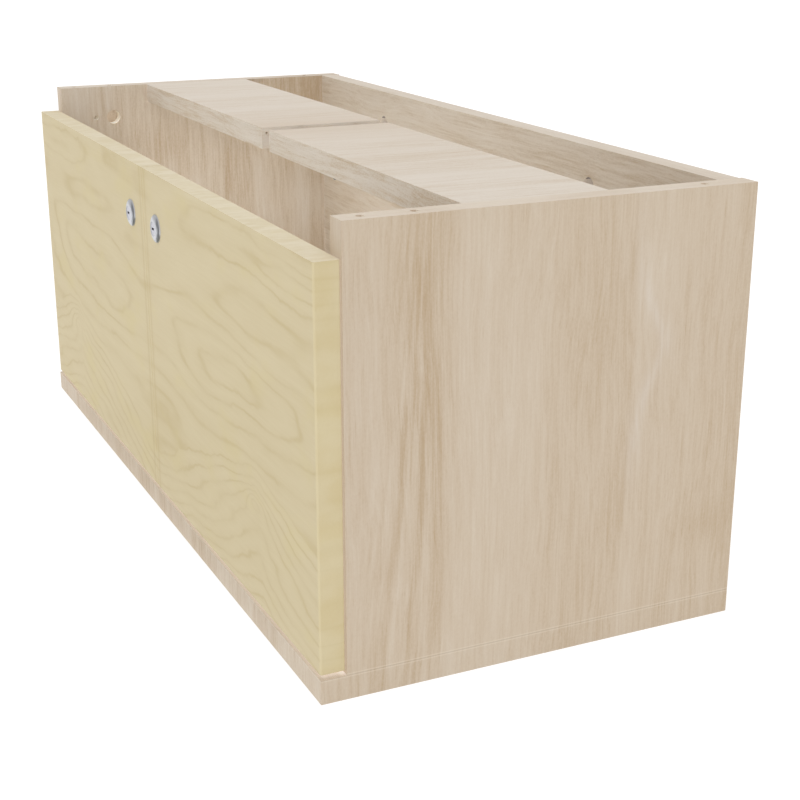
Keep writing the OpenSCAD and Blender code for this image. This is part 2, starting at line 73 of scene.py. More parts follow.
class Shader:
    """A material's nodes, written as short calls that return output sockets."""

    def __init__(self, name):
        self.mat = bpy.data.materials.new(name)
        self.mat.use_nodes = True
        self.tree = self.mat.node_tree
        self.tree.nodes.clear()
        self.out = self.add("ShaderNodeOutputMaterial")

    def add(self, kind, **settings):
        n = self.tree.nodes.new(kind)
        for key, value in settings.items():
            setattr(n, key, value)
        return n

    def plug(self, socket, value):
        if isinstance(value, bpy.types.NodeSocket):
            self.tree.links.new(value, socket)
        else:
            socket.default_value = value

    def fill(self, node, values):
        """Plugs the values into the node's first inputs, and returns its first output."""
        for socket, value in zip(node.inputs, values):
            self.plug(socket, value)
        return node.outputs[0]

    def math(self, op, a, b=0.0, c=0.0, clamp=False):
        return self.fill(self.add("ShaderNodeMath", operation=op, use_clamp=clamp), (a, b, c))

    def plus(self, a, b):
        return self.math("ADD", a, b)

    def minus(self, a, b):
        return self.math("SUBTRACT", a, b)

    def times(self, a, b):
        return self.math("MULTIPLY", a, b)

    def over(self, a, b):
        return self.math("DIVIDE", a, b)

    def times_plus(self, a, b, c, clamp=False):
        return self.math("MULTIPLY_ADD", a, b, c, clamp)

    def size(self, a):
        return self.math("ABSOLUTE", a)

    def positive(self, a):
        return self.math("MAXIMUM", a, 0.0)

    def below(self, a, limit):
        """1 where the value is below the limit, else 0."""
        return self.math("LESS_THAN", a, limit)

    def above(self, a, limit):
        """1 where the value is above the limit, else 0."""
        return self.math("GREATER_THAN", a, limit)

    def peak(self, off, height=1.0):
        """The height where off is 0, half of it where off is 1, and less further out."""
        return self.over(height, self.times_plus(off, off, 1.0))

    def span(self, value, lo, hi, to_lo=0.0, to_hi=1.0):
        """Goes smoothly from to_lo to to_hi while the value goes from lo to hi."""
        n = self.add("ShaderNodeMapRange", interpolation_type="SMOOTHSTEP")
        return self.fill(n, (value, lo, hi, to_lo, to_hi))

    def combine(self, x, y, z):
        return self.fill(self.add("ShaderNodeCombineXYZ"), (x, y, z))

    def split(self, vector):
        n = self.add("ShaderNodeSeparateXYZ")
        self.plug(n.inputs[0], vector)
        return n.outputs[0], n.outputs[1], n.outputs[2]

    def place(self):
        """Position on the piece in millimetres, depth counted from the bottom panel's front edge."""
        x, y, z = self.split(self.add("ShaderNodeTexCoord").outputs["Object"])
        return (self.times(x, MM_PER_M), self.times_plus(y, MM_PER_M, -FRONT * MM_PER_M),
                self.times(z, MM_PER_M))

    def facing(self):
        """The true normal's components along the piece's own axes."""
        n = self.add("ShaderNodeVectorTransform", vector_type="NORMAL",
                     convert_from="WORLD", convert_to="OBJECT")
        self.plug(n.inputs[0], self.add("ShaderNodeNewGeometry").outputs["True Normal"])
        return self.split(n.outputs[0])

    def noise(self, point, cells, seed, detail, rough):
        """Noise over three values, with this many cells for each millimetre of them."""
        scaled = [self.times(v, c) if c else 0.0 for v, c in zip(point, cells)]
        n = self.add("ShaderNodeTexNoise", noise_dimensions="4D")
        self.plug(n.inputs["Vector"], self.combine(*scaled))
        n.inputs["W"].default_value = seed
        n.inputs["Scale"].default_value = 1.0
        n.inputs["Detail"].default_value = detail
        n.inputs["Roughness"].default_value = rough
        return n.outputs["Fac"]

    def ramp(self, value, stops):
        """Colour ramp from (position, colour) pairs."""
        n = self.add("ShaderNodeValToRGB")
        elements = n.color_ramp.elements
        while len(elements) < len(stops):
            elements.new(0.5)
        for item, (position, colour) in zip(elements, stops):
            item.position = position
            item.color = colour
        self.plug(n.inputs[0], value)
        return n.outputs[0]

    def mix(self, share, a, b, blend="MIX"):
        n = self.add("ShaderNodeMix", data_type="RGBA", blend_type=blend)
        self.plug(n.inputs["Factor"], share)
        self.plug(n.inputs[6], a)
        self.plug(n.inputs[7], b)
        return n.outputs[2]

    def level(self, colour, factor):
        """Colour times a grey factor."""
        return self.mix(1.0, colour, self.combine(factor, factor, factor), "MULTIPLY")

    def finish(self, colour, rough, metal=0.0, bump=None, bump_depth=0.0, painted_gap_glow=None, painted_socket_glow=0.0,
               **extra):
        """painted_gap_glow and painted_socket_glow: strength of the painted glow, emission standing in for
        light, in narrow gaps and in wider sockets.
        """
        b = self.add("ShaderNodeBsdfPrincipled")
        # painted glow: emission in a cooled copy of the colour, strongest where the occlusion finds a
        # narrow gap shut in
        if painted_gap_glow is not None:
            n = self.add("ShaderNodeAmbientOcclusion", samples=GAP_RAYS)
            n.inputs["Distance"].default_value = GAP_REACH
            shut = self.minus(1.0, n.outputs["AO"])
            shut = self.times(shut, shut)
            wide = self.times(n.outputs["AO"], painted_socket_glow)
            self.plug(b.inputs["Emission Color"], self.mix(PAINTED_GLOW_SHARE, colour, PAINTED_GLOW_TONE))
            self.plug(b.inputs["Emission Strength"], self.times_plus(shut, painted_gap_glow, wide))
        self.plug(b.inputs["Base Color"], colour)
        self.plug(b.inputs["Roughness"], rough)
        self.plug(b.inputs["Metallic"], metal)
        for key, value in extra.items():
            self.plug(b.inputs[key.replace("_", " ")], value)
        if bump is not None:
            n = self.add("ShaderNodeBump")
            n.inputs["Distance"].default_value = bump_depth
            self.plug(n.inputs["Height"], bump)
            self.plug(b.inputs["Normal"], n.outputs[0])
        self.plug(self.out.inputs[0], b.outputs[0])
        return self.mat


def coat(name, mat):
    """Gives every CAD node named, or the one node, this material."""
    for n in [name] if isinstance(name, str) else name:
        mesh = frame["nodes"][n].data
        mesh.materials.clear()
        mesh.materials.append(mat)


# Oak decor: lengths are in millimetres

OAK = tones(dark=(185, 161, 130), mid=(203, 185, 162), light=(213, 199, 180))
OAK_ROUGH = 0.55
# Depth of the bump in metres
OAK_BUMP = 0.00005
# How much a face has to look along an axis to count as that axis's face
FACE_LIMIT = 0.7

# Strands of the figure: cells per millimetre across and along the fibres, seed, detail, roughness
CLOUDS = (0.022, 0.0024, 3.1, 1.5, 0.5)
STREAKS = ((0.10, 0.006, 5.2, 2.0, 0.6), (0.33, 0.012, 7.7, 2.0, 0.6), (0.9, 0.03, 9.4, 2.0, 0.6))
PORES = (1.5, 0.06, 12.9, 1.0, 0.5)
LINE_FRAY = (0.4, 0.03, 6.0, 2.0, 0.5)
# Noises: cells per millimetre, seed, detail, roughness
WAVER = ((0.012, 0.012, 0.005), 0.0, 2.0, 0.5)
SPECKS = ((0.8, 0.8, 0.45), 17, 1.0, 0.5)
FAN_STREAKS = ((44.0, 0.0, 0.006), 40, 2.0, 0.65)
# Weights in the tone
CLOUD_WEIGHT = 0.6
STREAK_WEIGHTS = (0.6, 0.75, 0.7)
SPECK_WEIGHT = 0.4
BAND_WEIGHT = 0.75
PORE_DEPTH = 0.2
# The noise levels between which pores set in
PORE_FROM = 0.60
PORE_TO = 0.74
# How far the fibres wander to the side, and the share of it that the other parts of the figure follow
FIBRE_WAVER = 26.0
BLOB_FOLLOW = 0.4
FAN_FOLLOW = 0.35
LINE_FOLLOW = 0.3

# Bands run upright, wander this far, lean this much about this height, and are given over this depth
BAND_WAVER = 34.0
BAND_LEAN = -0.05
BAND_MIDDLE = 172.0
BAND_DEPTH = 360.0

# Streaks that fan out downwards: where their rays meet, and the zone they lie in. It has this place and
# reach at the board's foot, and moves back and narrows by the lean further up
FAN_DEPTH = 88.0
FAN_HEIGHT = 470.0
FAN_ZONE = 62.0
FAN_ZONE_REACH = 32.0
FAN_ZONE_LEAN = 0.055
# Noise level that leaves the tone as it is, and the streaks' strength below FAN_LOW, which falls to 1 above
# FAN_HIGH
FAN_BASE = 0.54
FAN_LOW = 150.0
FAN_HIGH = 340.0
FAN_LOW_STRENGTH = 2.3

# Pale line that bulges to the rear halfway up: its middle, half width and share, then the bulge's size,
# height and reach, the heights where the line begins and fades, and what is left of it there
LINE_DEPTH = 246.0
LINE_REACH = 4.5
LINE_SHARE = 0.36
LINE_BULGE = 28.0
LINE_BULGE_HEIGHT = 232.0
LINE_BULGE_REACH = 36.0
LINE_BEGIN = (90.0, 170.0)
LINE_FADE = (245.0, 330.0)
LINE_FRAY_LEVELS = (0.3, 0.6)
LINE_REST = 0.35
LINE_TONE = rgb(218, 209, 200)

# Dark line between two boards, and the painted highlight on the arris beside it
SEAM_HALF = 0.45
SEAM_SHARE = 0.12
SEAM_TONE = rgb(120, 100, 78)
ARRIS_END = 1.5
ARRIS_HIGHLIGHT_SHARE = 0.22
ARRIS_HIGHLIGHT_TONE = rgb(232, 222, 206)

# painted light: pale, whiter tone for the top faces of the sides and the back
PAINTED_TOP_LIGHT_TONE = rgb(217, 207, 194)
# painted shade on the stretchers' tops about the slot between them, and how far it reaches
SLOT_SHADE_TONE = rgb(205, 187, 166)
SLOT_SHADE_REACH = 60.0
# A drilled wall is what lies further than this from the board's outer planes
SHELL_MARGIN = 0.06
# Painted light in the holes: their flat ends are lightened, and their walls glow weakly
HOLE_FLOOR_PAINTED_LIGHT = 0.1
HOLE_GLOW = 0.1
# How much more painted glow than its walls a hole's lower side gets
HOLE_UPWARD = 3.0
# Painted glow in the gaps between boards starts from this height, so that the gap above the floor stays
# dark
GLOW_FROM = 8.0
GLOW_TO = 16.0


def pick(s, masks, values):
    """The value that belongs to the face the point is on."""
    out = 0.0
    for m, v in zip(masks, values):
        out = s.times_plus(m, v, out)
    return out


def on_shell(s, place, node):
    """1 on the six outer planes of the board, 0 on the walls drilled into it."""
    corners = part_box(node)
    shell = 0.0
    for axis, value in enumerate(place):
        shift = -FRONT if axis == 1 else 0.0
        for corner in corners:
            plane = (corner[axis] + shift) * MM_PER_M
            near = s.below(s.size(s.minus(value, plane)), SHELL_MARGIN)
            shell = s.math("MAXIMUM", shell, near)
    return shell


def add_blob(s, tone, y, z, shift, blob):
    """Lighter or darker patch, used for the figure and for painted light and shade."""
    depth, height, reach_y, reach_z, amount = blob
    dy = s.over(s.minus(s.times_plus(shift, BLOB_FOLLOW, y), depth), reach_y)
    dz = s.over(s.minus(z, height), reach_z)
    d = s.times_plus(dy, dy, s.times_plus(dz, dz, 1.0))
    return s.plus(tone, s.over(amount, s.times(d, d)))


def add_fan(s, tone, y, z, shift, seed):
    """Streaks that fan out downwards from a point above the front part."""
    cells, off_seed, detail, rough = FAN_STREAKS
    ray = s.over(s.minus(s.times_plus(shift, FAN_FOLLOW, y), FAN_DEPTH), s.minus(FAN_HEIGHT, z))
    streaks = s.noise((ray, 0.0, z), cells, seed + off_seed, detail, rough)
    off = s.minus(y, s.times_plus(z, FAN_ZONE_LEAN, FAN_ZONE))
    off = s.over(off, s.times_plus(z, -FAN_ZONE_LEAN, FAN_ZONE_REACH))
    zone = s.peak(s.times(off, off))
    strength = s.span(z, FAN_LOW, FAN_HIGH, FAN_LOW_STRENGTH, 1.0)
    return s.times_plus(s.times(s.minus(streaks, FAN_BASE), strength), zone, tone)


def add_pale_line(s, colour, y, z, shift, fray):
    """Pale line that bulges to the rear halfway up, broken up by the fray noise."""
    rise = s.over(s.minus(z, LINE_BULGE_HEIGHT), LINE_BULGE_REACH)
    middle = s.plus(s.peak(rise, LINE_BULGE), LINE_DEPTH)
    off = s.over(s.minus(s.times_plus(shift, LINE_FOLLOW, y), middle), LINE_REACH)
    pale = s.peak(off, LINE_SHARE)
    pale = s.times(pale, s.span(z, *LINE_BEGIN))
    pale = s.times(pale, s.span(z, *LINE_FADE, 1.0, LINE_REST))
    pale = s.times(pale, s.span(fray, *LINE_FRAY_LEVELS, LINE_REST, 1.0))
    return s.mix(pale, colour, LINE_TONE)


def add_seam(s, colour, z, level, up):
    """Fine dark line where the board meets its neighbour, with a painted highlight on the arris on the
    board's own side.
    """
    off = s.minus(z, level)
    own = s.times(off, up)
    seam = s.below(s.size(off), SEAM_HALF)
    arris_highlight = s.times(s.above(own, SEAM_HALF), s.below(own, ARRIS_END))
    colour = s.mix(s.times(seam, SEAM_SHARE), colour, SEAM_TONE)
    return s.mix(s.times(arris_highlight, ARRIS_HIGHLIGHT_SHARE), colour, ARRIS_HIGHLIGHT_TONE)


def oak_board(node, faces, seed, streak=1.0, bands=None, drilled_tone_and_shade=(225, 212, 192), tint=OAK, joint=None,
              blobs=(), painted_gap_glow=0.36, hole=0.0, painted_face_light=(1.0, 1.0, 1.0), contrast=(1.0, 1.0, 1.0), rim=0.0,
              slot_shade=0.0, fan=False):
    """Pale oak decor on one board.

    faces names the fibre axis on the X, Y and Z faces. painted_face_light is painted light that lightens or
    darkens those faces, and contrast changes the figure's strength on them. bands and blobs place the broad
    stripes and the patches, the left wall's patches being painted light and shade. fan adds streaks and a
    pale line, rim pales the top faces as painted light, slot_shade is painted shade on the tops about the
    middle, and drilled_tone_and_shade is the colour of drilled walls: raw board, on the back panel a dark
    painted shade. joint is the level of a seam and the side of it that the board is on. painted_gap_glow
    and hole set the painted glow, emission standing in for light, in gaps and in holes.
    """
    s = Shader("oak_" + node)
    place = s.place()
    x, y, z = place
    normal = s.facing()
    masks = [s.above(s.size(n), FACE_LIMIT) for n in normal]
    fibres = {"x": (y, z, x), "y": (x, z, y), "z": (x, y, z)}
    point = [pick(s, masks, [fibres[f][i] for f in faces]) for i in range(3)]

    def board_noise(cells, off, detail, rough):
        return s.noise(point, cells, seed + off, detail, rough)

    waver = s.minus(board_noise(*WAVER), 0.5)
    shift = s.times(waver, FIBRE_WAVER)
    bent = (s.plus(point[0], shift), s.plus(point[1], shift), point[2])

    def strand(across, along, off, detail, rough):
        return s.noise(bent, (across, across, along), seed + off, detail, rough)

    layers = [(strand(*CLOUDS), CLOUD_WEIGHT)]
    layers += [(strand(*cells), weight * streak) for cells, weight in zip(STREAKS, STREAK_WEIGHTS)]
    layers.append((board_noise(*SPECKS), SPECK_WEIGHT))
    if bands:
        leaning = s.times(s.minus(z, BAND_MIDDLE), BAND_LEAN)
        depth = s.plus(s.plus(y, s.times(waver, BAND_WAVER)), leaning)
        stops = [(position, grey(level)) for position, level in bands]
        layers.append((s.ramp(s.over(depth, BAND_DEPTH), stops), BAND_WEIGHT))
    tone = 0.5
    for layer, weight in layers:
        tone = s.times_plus(s.minus(layer, 0.5), weight, tone)
    for blob in blobs:
        tone = add_blob(s, tone, y, z, shift, blob)
    if fan:
        tone = add_fan(s, tone, y, z, shift, seed)
    pores = s.span(strand(*PORES), PORE_FROM, PORE_TO, 0.0, PORE_DEPTH * streak)
    tone = s.minus(s.minus(tone, pores), 0.5)
    tone = s.times_plus(tone, pick(s, masks, contrast), 0.5, clamp=True)

    colour = s.ramp(tone, [(0.0, tint["dark"]), (0.5, tint["mid"]), (1.0, tint["light"])])
    # painted light: each face is lightened or darkened by its own factor
    colour = s.level(colour, pick(s, masks, painted_face_light))
    # painted light: top faces paled towards an even light tone
    if rim:
        colour = s.mix(s.times(masks[2], rim), colour, PAINTED_TOP_LIGHT_TONE)
    if fan:
        colour = add_pale_line(s, colour, y, z, shift, strand(*LINE_FRAY))
    if slot_shade:
        # painted shade: darker, browner tone on the tops where the two stretchers nearly meet
        shade_near_slot = s.peak(s.over(x, SLOT_SHADE_REACH), slot_shade)
        colour = s.mix(s.times(shade_near_slot, masks[2]), colour, SLOT_SHADE_TONE)
    if joint:
        colour = add_seam(s, colour, z, *joint)

    # walls of the drilled holes are raw board, on the back panel darkened as painted shade, and their flat
    # ends are lightened as painted light
    inside = s.minus(1.0, on_shell(s, place, node))
    hole_floor = s.times(inside, masks[0])
    colour = s.mix(s.minus(inside, hole_floor), colour, rgb(*drilled_tone_and_shade))
    colour = s.level(colour, s.times_plus(hole_floor, HOLE_FLOOR_PAINTED_LIGHT, 1.0))
    # painted glow, emission standing in for light: in the gaps between boards above the floor, and weakly
    # in the holes
    gaps = s.times(s.span(z, GLOW_FROM, GLOW_TO), painted_gap_glow)
    glow = s.times_plus(inside, s.minus(HOLE_GLOW, gaps), gaps)
    upward = s.times_plus(s.positive(normal[2]), HOLE_UPWARD * hole, hole)
    return s.finish(colour, OAK_ROUGH, bump=tone, bump_depth=OAK_BUMP, painted_gap_glow=glow,
                    painted_socket_glow=s.times(inside, upward))


# Upright bands of each figure, from front to rear: place in the depth, and tone from dark to light
SIDE_BANDS = ((0.05, 0.56), (0.11, 0.56), (0.155, 0.46), (0.18, 0.36), (0.222, 0.3), (0.245, 0.36),
              (0.28, 0.55), (0.31, 0.7), (0.39, 0.74), (0.47, 0.66), (0.505, 0.46), (0.56, 0.42),
              (0.625, 0.38), (0.675, 0.4), (0.695, 0.66), (0.73, 0.62), (0.775, 0.6), (0.83, 0.52),
              (0.89, 0.46), (0.97, 0.34))
LEFT_BANDS = ((0.06, 0.56), (0.11, 0.66), (0.2, 0.42), (0.26, 0.44), (0.32, 0.62), (0.39, 0.52),
              (0.48, 0.6), (0.58, 0.46), (0.6, 0.46), (0.635, 0.36), (0.665, 0.5), (0.72, 0.46),
              (0.76, 0.2), (0.9, 0.13))
# Darker and lighter patches: the right side's belong to its figure, the left wall's are painted light and
# shade. Each: depth, height, reach each way, amount
SIDE_BLOBS = ((76, 290, 14, 50, -0.2), (215, 265, 30, 70, -0.14), (240, 105, 9, 50, -0.25),
              (325, 80, 30, 24, -0.2), (140, 200, 30, 120, 0.12), (262, 290, 13, 50, 0.25))
# painted light in the deep lower rear of the left wall's inner face, painted shade at its upper rear and
# towards the front
LEFT_LIGHT_AND_SHADE_BLOBS = ((300, 195, 45, 55, 0.36), (290, 340, 50, 30, -0.22), (115, 275, 60, 40, -0.27))

STRETCHER_TINT = tones(dark=(193, 173, 147), mid=(211, 200, 186), light=(219, 210, 199))
LEFT_TINT = tones(dark=(178, 155, 127), mid=(202, 186, 166), light=(213, 202, 188))
BACK_TINT = tones(dark=(180, 158, 131), mid=(202, 187, 168), light=(212, 201, 186))

# The right side's figure runs on over the bottom panel's edge
RIGHT_FIGURE = {"bands": SIDE_BANDS, "blobs": SIDE_BLOBS, "fan": True}
# the stretchers' fronts, ends and tops are lightened as painted light
STRETCHER = {"streak": 0.8, "tint": STRETCHER_TINT, "painted_face_light": (1.1, 1.13, 1.055), "contrast": (1.0, 1.9, 1.0),
             "slot_shade": 0.6}
# Each board: fibre axes on its X, Y and Z faces, seed, options
BOARDS = {
    "side_right": ("zzy", 1.3, {**RIGHT_FIGURE, "joint": (PANEL_TOP, 1), "contrast": (0.8, 0.8, 1.0),
                                "painted_face_light": (0.98, 1.0, 1.07), "rim": 0.5, "hole": 0.2}),
    "bottom_panel": ("zzx", 1.3, {**RIGHT_FIGURE, "joint": (PANEL_TOP, -1), "contrast": (0.95, 1.5, 1.0),
                                  "painted_face_light": (0.97, 1.0, 1.0), "painted_gap_glow": 1.5}),
    "side_left": ("zzy", 4.7, {"bands": LEFT_BANDS, "blobs": LEFT_LIGHT_AND_SHADE_BLOBS, "tint": LEFT_TINT,
                               "drilled_tone_and_shade": (240, 232, 216), "painted_face_light": (1.0, 1.1, 1.07), "rim": 0.5, "hole": 0.11}),
    # the back panel's drilled walls are dark: painted shade in its sockets
    "back_panel": ("xxx", 8.1, {"tint": BACK_TINT, "streak": 1.3, "drilled_tone_and_shade": (104, 88, 72),
                                "painted_face_light": (1.0, 1.0, 1.07), "rim": 0.5, "hole": 0.2}),
    "stretcher_left": ("yxy", 11.0, STRETCHER),
    "stretcher_right": ("yxy", 14.0, STRETCHER)}

for node, (faces, seed, options) in BOARDS.items():
    coat(node, oak_board(node, faces, seed, **options))


# Birch: lengths are in millimetres

BIRCH = tones(dark=(208, 193, 158), light=(217, 204, 172), line=(197, 179, 136), gold=(213, 199, 154),
              bend=(226, 214, 180), top_dark=(212, 200, 172), top_light=(223, 214, 194),
              end_dark=(204, 186, 138), end_light=(212, 198, 160))
BIRCH_ROUGH = 0.42
# Depth of the bump in metres
BIRCH_BUMP = 0.00003
# painted glow in the gaps round the doors, emission standing in for light
BIRCH_GAP_LIGHT = 0.34
BIRCH_IOR = 1.05

# Noises: cells per millimetre along x, y and z, seed, detail, roughness
BIRCH_NOISES = {
    "sideways": ((0.010, 0.0, 0.022), 2.0, 2.0, 0.5),
    "upward": ((0.007, 0.0, 0.02), 7.5, 2.0, 0.5),
    "jitter": ((0.05, 0.0, 0.06), 12.5, 2.0, 0.6),
    "field": ((0.003, 0.0, 0.014), 4.0, 2.0, 0.5),
    "strength": ((0.013, 0.0, 0.03), 9.0, 2.0, 0.5),
    "fibre": ((0.018, 0.5, 0.45), 21.0, 3.0, 0.6),
    "cloud": ((0.012, 0.03, 0.04), 31.0, 2.0, 0.5),
    "gold": ((0.011, 0.0, 0.022), 63.0, 3.0, 0.6),
    "top": ((0.09, 0.03, 0.0), 44.0, 3.0, 0.7),
    "ends": ((0.0, 0.02, 0.035), 51.0, 2.0, 0.6)}
# How far the noises shift the figure
SIDEWAYS_SHIFT = 50.0
UPWARD_SHIFT = 26.0
JITTER_SHIFT = 7.0
FIELD_HEIGHT = 1.7

# Loops of the figure: centre, reach along and up, and height of the field
BIRCH_LOOPS = ((-330, 299, 205, 21, 1.4), (-225, 192, 175, 44, 2.1),
               (330, 297, 205, 21, 1.5), (245, 190, 185, 44, 2.1))
# Two knots low down, and the slanting lines that fan out from them
BIRCH_KNOTS = ((-279, 107), (280, 107))
KNOT_REACH = (20.0, 11.0)
KNOT_DEPTH = 1.2
SLANT_X = 279.0
SLANT_TOP = 140.0
SLANT = 0.27
SLANT_FALL = 0.032

# How often the field's contour lines come, how wide each is, and the range of their strength
CONTOURS = 2.3
CONTOUR_WIDTH = 0.17
STRENGTH_LEVELS = (0.36, 0.66)
STRENGTH = (0.06, 0.5)
# How much of the lines is lost on the doors' ends and top edges
END_LOSS = 0.55
TOP_LOSS = 0.85
# Weights in the tone, and the levels between which the golden clouds come in
BASE_TONE = 0.36
WAVE_WEIGHT = 0.55
FIBRE_WEIGHT = 0.8
BIRCH_CLOUD_WEIGHT = 0.6
GOLD_LEVELS = (0.5, 0.7)
GOLD_SHARE = 0.5

# Joint line of the lipping, counted from the doors' meeting line, its softness and its share
LIP_X = 7.5
LIP_REACH = 1.6
LIP_SHARE = 0.5
# Rounded outer edge: where it starts, what still counts as a flat face, and the share of its painted
# highlight
BEND_X = 390.0
FLAT = 0.97
BEND_UP_LIMIT = 0.5
BEND_FRONT_LIMIT = -0.1
BEND_HIGHLIGHT_SHARE = 0.45
# Shares and noise levels of the tones on the top edges and on the ends
TOP_SHARE = 0.7
TOP_LEVELS = (0.35, 0.65)
END_SHARE = 0.8
END_LEVELS = (0.38, 0.62)


def warped(s, place):
    """Place along and up the doors, shifted by soft noise so that no line of the figure is even."""
    x, y, z = place
    sideways, upward, jitter = [s.minus(s.noise(place, *BIRCH_NOISES[name]), 0.5)
                                for name in ("sideways", "upward", "jitter")]
    up = s.times_plus(upward, UPWARD_SHIFT, z)
    return s.times_plus(sideways, SIDEWAYS_SHIFT, x), s.times_plus(jitter, JITTER_SHIFT, up)


def birch_field(s, place, x, z):
    """Height field whose contour lines are the figure. x and z are the shifted place."""
    field = s.times(s.noise(place, *BIRCH_NOISES["field"]), FIELD_HEIGHT)
    for cx, cz, rx, rz, up in BIRCH_LOOPS:
        dx = s.over(s.minus(x, cx), rx)
        dz = s.over(s.minus(z, cz), rz)
        dx = s.times(dx, dx)
        blunt = s.times(s.times_plus(dx, dx, dx), 0.5)
        field = s.plus(field, s.over(up, s.plus(s.times_plus(dz, dz, blunt), 1.0)))
    apart = s.size(s.minus(s.size(x), SLANT_X))
    slant = s.minus(s.times_plus(apart, SLANT, z), SLANT_TOP)
    field = s.plus(field, s.times(s.math("MINIMUM", slant, 0.0), SLANT_FALL))
    for cx, cz in BIRCH_KNOTS:
        dx = s.over(s.minus(x, cx), KNOT_REACH[0])
        dz = s.over(s.minus(z, cz), KNOT_REACH[1])
        d = s.times_plus(dx, dx, s.times(dz, dz))
        field = s.minus(field, s.over(KNOT_DEPTH, s.plus(d, 1.0)))
    return field


def birch_edges(s, colour, place, normal, top, ends):
    """Line beside the meeting edges, painted highlight on the rounded outer edge, streaked top edge, patchy
    outer end.
    """
    x, y, z = place
    nx, ny, nz = normal
    lip = s.peak(s.over(s.minus(s.size(x), LIP_X), LIP_REACH))
    colour = s.mix(s.times(lip, LIP_SHARE), colour, BIRCH["line"])
    # painted highlight on the rounded outer edge
    bend = s.times(s.below(s.size(nx), FLAT), s.below(s.size(ny), FLAT))
    bend = s.times(bend, s.below(s.size(nz), BEND_UP_LIMIT))
    bend = s.times(bend, s.above(s.size(x), BEND_X))
    bend = s.times(bend, s.below(ny, BEND_FRONT_LIMIT))
    colour = s.mix(s.times(bend, BEND_HIGHLIGHT_SHARE), colour, BIRCH["bend"])
    # top edges: streaked grain, and paler and whiter as painted light from above
    across = s.noise(place, *BIRCH_NOISES["top"])
    pale = s.mix(s.span(across, *TOP_LEVELS), BIRCH["top_dark"], BIRCH["top_light"])
    colour = s.mix(s.times(top, TOP_SHARE), colour, pale)
    # darker, yellower patchy tone on the doors' ends
    patches = s.noise(place, *BIRCH_NOISES["ends"])
    end_patches = s.mix(s.span(patches, *END_LEVELS), BIRCH["end_dark"], BIRCH["end_light"])
    return s.mix(s.times(ends, END_SHARE), colour, end_patches)


def birch():
    """Rotary-cut birch: contour lines of a smooth height field, loops round a few centres."""
    s = Shader("birch_decor")
    place = s.place()
    normal = s.facing()
    x, z = warped(s, place)
    wave = s.math("PINGPONG", s.times(birch_field(s, place, x, z), CONTOURS), 0.5)
    contour = s.span(wave, 0.0, CONTOUR_WIDTH, 1.0, 0.0)
    strength = s.span(s.noise(place, *BIRCH_NOISES["strength"]), *STRENGTH_LEVELS, *STRENGTH)
    ends = s.times(s.size(normal[0]), END_LOSS)
    top = s.positive(normal[2])
    strength = s.times(strength, s.minus(1.0, s.times_plus(top, TOP_LOSS, ends)))
    fibre = s.minus(s.noise(place, *BIRCH_NOISES["fibre"]), 0.5)
    cloud = s.minus(s.noise(place, *BIRCH_NOISES["cloud"]), 0.5)
    tone = s.times_plus(wave, WAVE_WEIGHT, BASE_TONE)
    tone = s.times_plus(fibre, FIBRE_WEIGHT, tone)
    tone = s.times_plus(cloud, BIRCH_CLOUD_WEIGHT, tone, clamp=True)
    colour = s.mix(tone, BIRCH["dark"], BIRCH["light"])
    golden = s.noise((x, 0.0, z), *BIRCH_NOISES["gold"])
    colour = s.mix(s.span(golden, *GOLD_LEVELS, 0.0, GOLD_SHARE), colour, BIRCH["gold"])
    colour = s.mix(s.times(contour, strength), colour, BIRCH["line"])
    colour = birch_edges(s, colour, place, normal, top, ends)
    return s.finish(colour, BIRCH_ROUGH, bump=tone, bump_depth=BIRCH_BUMP, painted_gap_glow=BIRCH_GAP_LIGHT,
                    IOR=BIRCH_IOR)


coat(("door_left", "door_right", "door_lipping_left", "door_lipping_right"), birch())


# Plain finishes

def plain(name, colour, rough, **extra):
    return Shader(name).finish(rgb(*colour), rough, **extra)


def metal(name, colour, rough):
    return plain(name, colour, rough, metal=1.0)


chrome = metal("lock_chrome_finish", (209, 210, 214), 0.34)
plug = metal("plug_finish", (196, 196, 204), 0.36)
tongue = metal("tongue_finish", (188, 188, 190), 0.38)
nickel = metal("hinge_nickel", (200, 200, 202), 0.27)
zinc = metal("plate_zinc", (176, 177, 180), 0.42)
cam = metal("cam_diecast", (150, 151, 154), 0.5)
screw = metal("screw_steel", (182, 183, 186), 0.35)
beech = plain("beech_dowel", (206, 178, 140), 0.6)
buffer_mat = plain("buffer_clear", (232, 232, 230), 0.25, IOR=1.45)

for side in ("left", "right"):
    coat(f"lock_housing_{side}", chrome)
    coat(f"lock_plug_{side}", plug)
    coat(f"lock_nut_{side}", zinc)
    coat(f"lock_tongue_{side}", tongue)
    coat((f"hinge_arms_{side}", f"hinge_links_{side}", f"hinge_cups_{side}"), nickel)
    coat(f"hinge_plates_{side}", zinc)
    coat((f"plate_screws_{side}", f"arm_screws_{side}", f"arm_pins_{side}", f"cup_screws_{side}",
          f"cup_pins_{side}", f"tongue_screw_{side}"), screw)
coat("connector_cams", cam)
coat(("connector_bolts", "slot_bolts"), screw)
coat("dowels", beech)
coat("door_buffers", buffer_mat)


# Stage: lengths are in metres

WORLD_LIGHT = 0.68
FLOOR_SIZE = 30
FLOOR_GREY = 0.35
FLOOR_ROUGH = 0.9
FLOOR_GLOW = 0.74
FILL_TINT = (0.87, 0.96, 1.05)
# Grey cards for the locks to mirror: how far in front they start and end, and their lift off the floor
CARD_FAR = FRONT - 2.5
CARD_MIDDLE = FRONT - 0.3
CARD_NEAR = FRONT - 0.02
CARD_LIFT = 0.001
CARD_ROUGH = 1.0
